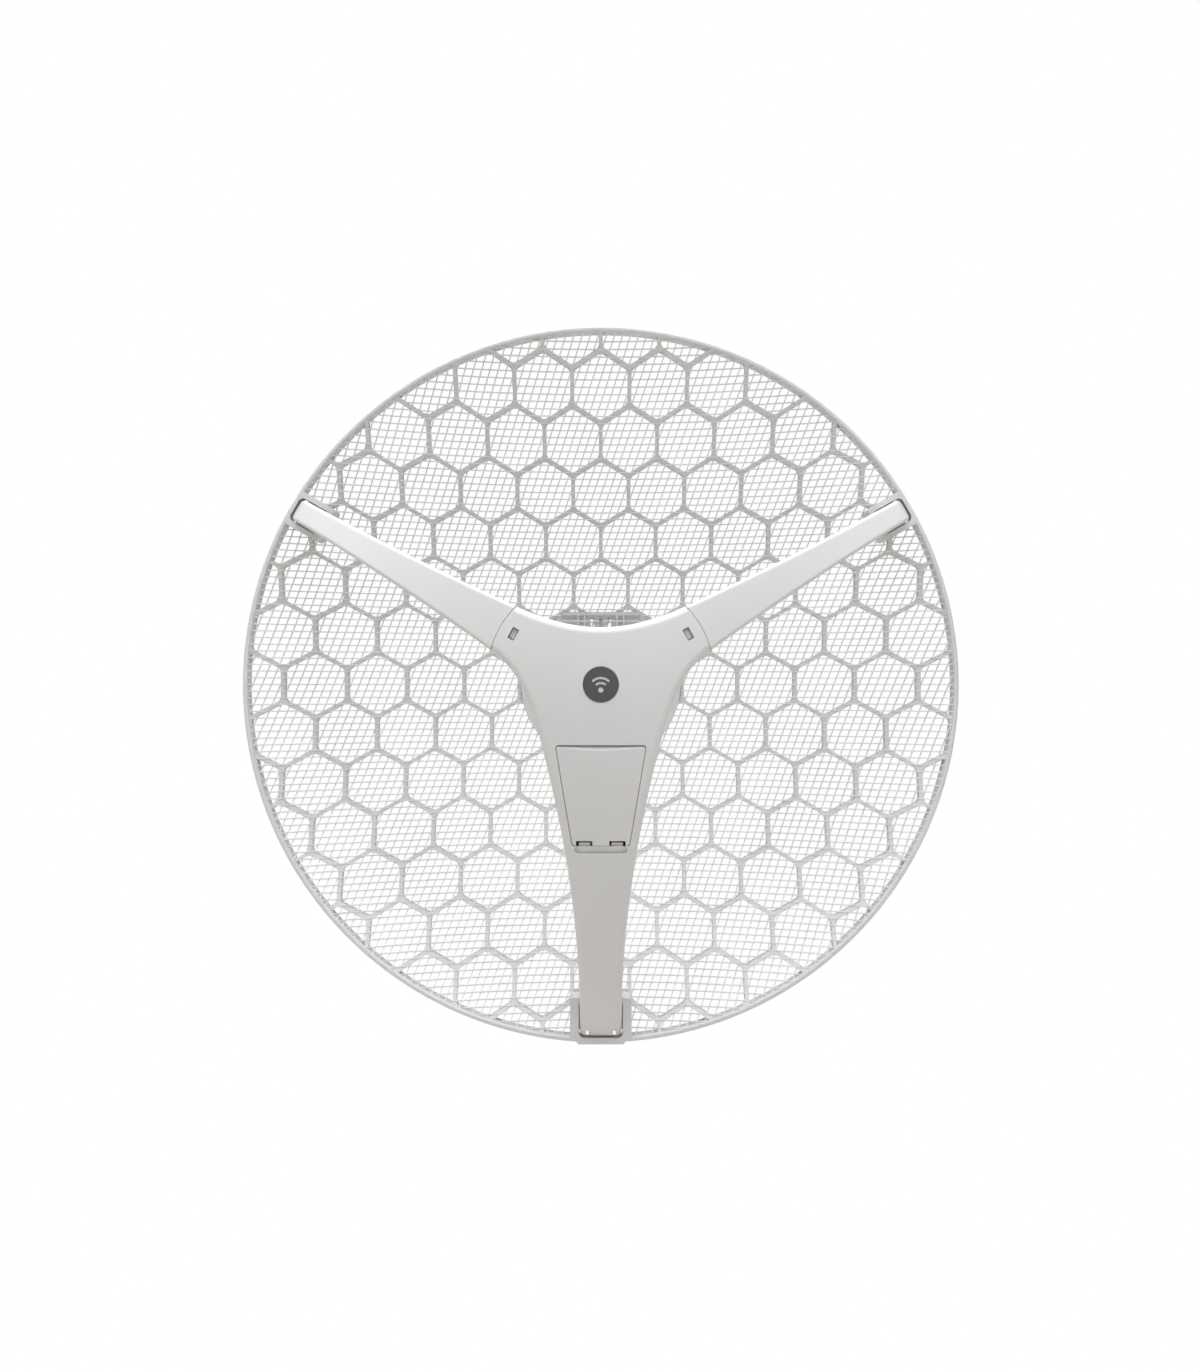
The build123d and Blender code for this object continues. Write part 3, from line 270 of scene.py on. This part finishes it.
def lamp_plastic(name, colour):
    """Clear tinted plastic."""
    nodes = new_material(name)
    swirl = nodes.noise(scale=200.0, detail=2.0)
    nodes.set("Base Color", nodes.mix(nodes.ramp(swirl, *NOISE_BAND), colour, grey(0.9)))
    nodes.set("Roughness", 0.12)
    nodes.set("Transmission Weight", 0.7)
    nodes.bump(swirl, distance=0.00003, strength=0.3)
    return nodes.owner


def studio_white(name):
    """White to the camera, and a dimmer pale surface to the light that bounces about."""
    nodes = new_material(name)
    nodes.set("Base Color", nodes.mix(nodes.noise(scale=3.0), (0.52, 0.50, 0.46), (0.56, 0.54, 0.50)))
    nodes.set("Roughness", 0.8)
    nodes.show_white("ShaderNodeEmission", "Material Output")
    return nodes.owner


# One material for each slot name in the record
MATERIALS = {
    "white_plastic": moulded_plastic("satin_white_plastic", grey(0.72), grey(0.68, 0.004), 0.40),
    "grid_plastic": moulded_plastic("grid_plastic", grey(0.70), grey(0.66, 0.004), 0.46),
    "inner_plastic": moulded_plastic("inner_plastic", grey(0.55, 0.01), grey(0.50, 0.01), 0.50),
    "bracket_plastic": moulded_plastic("bracket_plastic", grey(0.50), grey(0.45), 0.50),
    "badge_plastic": painted_badge("badge_plastic"),
    "chip_plastic": moulded_plastic("chip_plastic", grey(0.02), grey(0.015), 0.45),
    "coated_wire": coated_wire("coated_wire"),
    "seal_rubber": rubber("seal_rubber"),
    "circuit_board": circuit_board("circuit_board"),
    "tinned_steel": metal("tinned_steel", grey(0.62), 0.30),
    "feed_brass": metal("feed_brass", (0.72, 0.50, 0.22), 0.28),
    "gold_contacts": metal("gold_contacts", (0.80, 0.58, 0.25), 0.22),
    "lamp_lens": lamp_plastic("lamp_lens", (0.45, 0.8, 0.4)),
    "clear_plastic": lamp_plastic("clear_plastic", (0.85, 0.9, 0.92)),
    "bracket_steel": moulded_plastic("powder_coat", grey(0.46), grey(0.42), 0.52, grain=0.00012),
    "stainless": metal("stainless_band", grey(0.58), 0.30, streak=(1.0, 1.0, 60.0)),
    "zinc_steel": metal("zinc_plated_steel", grey(0.55, -0.01), 0.34, streak=(8.0, 8.0, 8.0)),
}


def dress_nodes():
    """Give every CAD node the material of its slot."""
    for part in frame["record"]["subparts"]:
        node = frame["nodes"][part["node"]]
        material = MATERIALS[part["material_slot"]]
        if not node.material_slots:
            node.data.materials.append(material)
        for slot in node.material_slots:
            slot.material = material


# ---------------------------------------------------------------- stage, lights and camera

def backdrop_profile():
    """Side outline of the floor, the bend and the wall, as pairs of depth and height."""
    profile = [(FLOOR_FRONT, 0.0), (FLOOR_BACK, 0.0)]
    for step in range(1, BEND_STEPS + 1):
        angle = math.radians(90 * step / BEND_STEPS)
        profile.append((FLOOR_BACK + BEND_RADIUS * math.sin(angle), BEND_RADIUS * (1 - math.cos(angle))))
    profile.append((FLOOR_BACK + BEND_RADIUS, WALL_HEIGHT))
    return profile


def add_backdrop():
    """Level floor that curves up into a wall, well below and behind the object."""
    floor_height = cad_box[0][2] - FLOOR_DROP
    shape = bmesh.new()
    rows = []
    for y, height in backdrop_profile():
        z = floor_height + height
        rows.append((shape.verts.new((-FLOOR_HALF_WIDTH, y, z)), shape.verts.new((FLOOR_HALF_WIDTH, y, z))))
    for lower, upper in zip(rows, rows[1:]):
        shape.faces.new((lower[0], lower[1], upper[1], upper[0])).smooth = True
    mesh = bpy.data.meshes.new("studio_backdrop")
    shape.to_mesh(mesh)
    shape.free()
    mesh.materials.append(studio_white("studio_white"))
    backdrop = bpy.data.objects.new("studio_backdrop", mesh)
    bpy.context.collection.objects.link(backdrop)


def add_area_light(name, place, size, power):
    """Rectangular light that points at the target."""
    data = bpy.data.lights.new(name, "AREA")
    data.shape = "RECTANGLE"
    data.size, data.size_y = size
    data.energy = power
    light = bpy.data.objects.new(name, data)
    light.location = place
    light.rotation_euler = (LIGHT_TARGET - Vector(place)).to_track_quat("-Z", "Y").to_euler()
    bpy.context.collection.objects.link(light)


def add_sky():
    """Soft studio surround: bright overhead, dimmer and warmer below, and white to the camera."""
    nodes = Nodes(bpy.data.worlds.new("studio"), "Background", "Generated")
    colour = nodes.add("ShaderNodeValToRGB", {"Fac": nodes.ramp(nodes.along("Z"), -1.0, 1.0)})
    stops = colour.color_ramp.elements
    stops[0].color = (*SKY_LOW, 1.0)
    stops[1].color = (*SKY_HIGH, 1.0)
    stops.new(0.5).color = (*SKY_HORIZON, 1.0)
    nodes.set("Color", colour.outputs["Color"])
    nodes.show_white("ShaderNodeBackground", "World Output")
    bpy.context.scene.world = nodes.owner


def add_lights():
    """The surround and the area lights, shown without tone mapping so that white stays white."""
    add_sky()
    for name, (place, size, power) in AREA_LIGHTS.items():
        add_area_light(name, place, size, power)
    bpy.context.scene.view_settings.view_transform = "Standard"


def add_camera():
    """Camera on the beam axis, level, looking straight into the bowl."""
    data = bpy.data.cameras.new("camera")
    data.lens = CAMERA_LENS
    data.sensor_width = CAMERA_SENSOR
    data.shift_x, data.shift_y = CAMERA_SHIFT
    data.clip_start = CAMERA_NEAR
    camera = bpy.data.objects.new("camera", data)
    bowl_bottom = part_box("dish_bracket")[0][1] - BOWL_AHEAD_OF_BRACKET
    camera.location = (0.0, bowl_bottom - CAMERA_DISTANCE, 0.0)
    camera.rotation_euler = (math.radians(90), 0, 0)
    bpy.context.collection.objects.link(camera)
    bpy.context.scene.camera = camera


dress_nodes()
add_backdrop()
add_lights()
add_camera()
